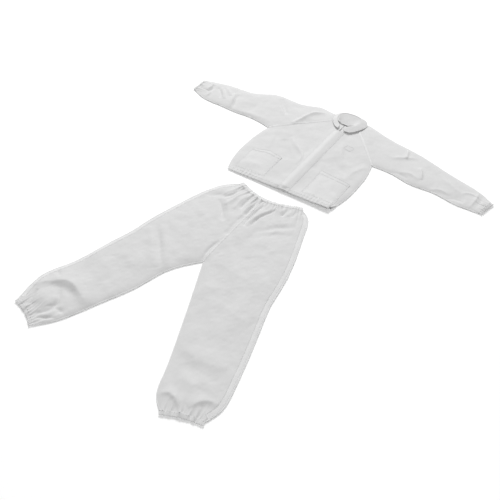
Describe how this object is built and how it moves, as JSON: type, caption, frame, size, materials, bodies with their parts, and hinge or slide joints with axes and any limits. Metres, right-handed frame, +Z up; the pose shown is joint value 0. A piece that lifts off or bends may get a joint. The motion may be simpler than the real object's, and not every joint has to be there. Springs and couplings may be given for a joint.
{
  "type": "beekeeping suit",
  "caption": "Two-piece white beekeeping suit laid flat: a zipped raglan jacket with collar and patch pockets, and trousers with elastic waist and ankles.",
  "frame": {"origin": "on the surface the suit lies on, under the middle of the laid-out suit, between jacket and trousers", "axes": "+X towards the wearer's left hand, +Y towards the collar, +Z up from the surface, out of the front of the suit"},
  "size_m": [1.6492, 1.8264, 0.043],
  "materials": {
    "suit_cloth": "matt white woven cloth",
    "doubled_cloth": "two layers of the same white cloth, a little brighter",
    "seam_cloth": "felled seam with twin rows of white stitching",
    "elastic": "covered flat elastic",
    "zipper_tape": "fine white tape",
    "zipper_coil": "white nylon coil",
    "slider_finish": "white painted zipper metal"
  },
  "bodies": {
    "jacket": {"chest_patch": "doubled_cloth", "collar_fall_back": "doubled_cloth", "collar_stand": "doubled_cloth", "hem_casing": "doubled_cloth", "hem_elastic": "elastic", "jacket_back_panel": "suit_cloth", "left_front_panel": "suit_cloth", "left_pocket": "doubled_cloth", "left_pocket_hem": "doubled_cloth", "left_raglan_seam": "seam_cloth", "left_shoulder_back": "suit_cloth", "left_shoulder_front": "suit_cloth", "left_shoulder_seam": "seam_cloth", "left_side_seam": "seam_cloth", "left_zipper_coil": "zipper_coil", "left_zipper_tape": "zipper_tape", "right_front_panel": "suit_cloth", "right_pocket": "doubled_cloth", "right_pocket_hem": "doubled_cloth", "right_raglan_seam": "seam_cloth", "right_shoulder_back": "suit_cloth", "right_shoulder_front": "suit_cloth", "right_shoulder_seam": "seam_cloth", "right_side_seam": "seam_cloth", "right_zipper_coil": "zipper_coil", "right_zipper_tape": "zipper_tape", "zipper_bottom_stop": "slider_finish", "zipper_top_stops": "slider_finish"},
    "placket_flap": {"placket_flap": "doubled_cloth"},
    "zipper_slider": {"zipper_slider": "slider_finish"},
    "zipper_pull_tab": {"zipper_pull_tab": "slider_finish"},
    "left_collar_leaf": {"left_collar_leaf": "doubled_cloth"},
    "right_collar_leaf": {"right_collar_leaf": "doubled_cloth"},
    "left_sleeve": {"left_cuff_casing": "doubled_cloth", "left_cuff_elastic": "elastic", "left_sleeve_back": "suit_cloth", "left_sleeve_front": "suit_cloth", "left_sleeve_seams": "seam_cloth"},
    "right_sleeve": {"right_cuff_casing": "doubled_cloth", "right_cuff_elastic": "elastic", "right_sleeve_back": "suit_cloth", "right_sleeve_front": "suit_cloth", "right_sleeve_seams": "seam_cloth"},
    "trousers": {"hip_seams": "seam_cloth", "left_hip_back": "suit_cloth", "left_hip_front": "suit_cloth", "right_hip_back": "suit_cloth", "right_hip_front": "suit_cloth", "waist_elastic": "elastic", "waistband": "doubled_cloth"},
    "left_leg": {"left_ankle_casing": "doubled_cloth", "left_ankle_elastic": "elastic", "left_leg_back": "suit_cloth", "left_leg_front": "suit_cloth", "left_leg_seams": "seam_cloth"},
    "right_leg": {"right_ankle_casing": "doubled_cloth", "right_ankle_elastic": "elastic", "right_leg_back": "suit_cloth", "right_leg_front": "suit_cloth", "right_leg_seams": "seam_cloth"}
  },
  "joints": [
    {"name": "placket_flap_lift", "type": "hinge", "parent": "jacket", "child": "placket_flap", "pos_m": [0.0572, 0.48, 0.0192], "axis": [0, 1, 0], "range_deg": [0, 150]},
    {"name": "zipper_travel", "type": "slide", "parent": "jacket", "child": "zipper_slider", "axis": [0, -1, 0], "range_m": [0, 0.445]},
    {"name": "pull_tab_swing", "type": "hinge", "parent": "zipper_slider", "child": "zipper_pull_tab", "pos_m": [0.028, 0.7225, 0.0184], "axis": [-1, 0, 0], "range_deg": [0, 6]},
    {"name": "left_collar_leaf_turn_up", "type": "hinge", "parent": "jacket", "child": "left_collar_leaf", "pos_m": [0.07426, 0.80646, 0.043], "axis": [-0.4833, -0.8755, 0], "range_deg": [0, 70]},
    {"name": "right_collar_leaf_turn_up", "type": "hinge", "parent": "jacket", "child": "right_collar_leaf", "pos_m": [-0.01826, 0.80646, 0.043], "axis": [-0.4833, 0.8755, 0], "range_deg": [0, 70]},
    {"name": "left_sleeve_fold", "type": "hinge", "parent": "jacket", "child": "left_sleeve", "pos_m": [0.302, 0.72, 0.016], "axis": [0, -1, 0], "range_deg": [0, 110]},
    {"name": "right_sleeve_fold", "type": "hinge", "parent": "jacket", "child": "right_sleeve", "pos_m": [-0.312, 0.74, 0.016], "axis": [0, 1, 0], "range_deg": [0, 110]},
    {"name": "trousers_apart", "type": "slide", "parent": "jacket", "child": "trousers", "axis": [0, -1, 0], "range_m": [0, 0.25]},
    {"name": "left_leg_fold", "type": "hinge", "parent": "trousers", "child": "left_leg", "pos_m": [0.17, -0.306, 0.018], "axis": [-1, 0, 0], "range_deg": [0, 150]},
    {"name": "right_leg_fold", "type": "hinge", "parent": "trousers", "child": "right_leg", "pos_m": [-0.18, -0.306, 0.018], "axis": [-1, 0, 0], "range_deg": [0, 150]}
  ]
}
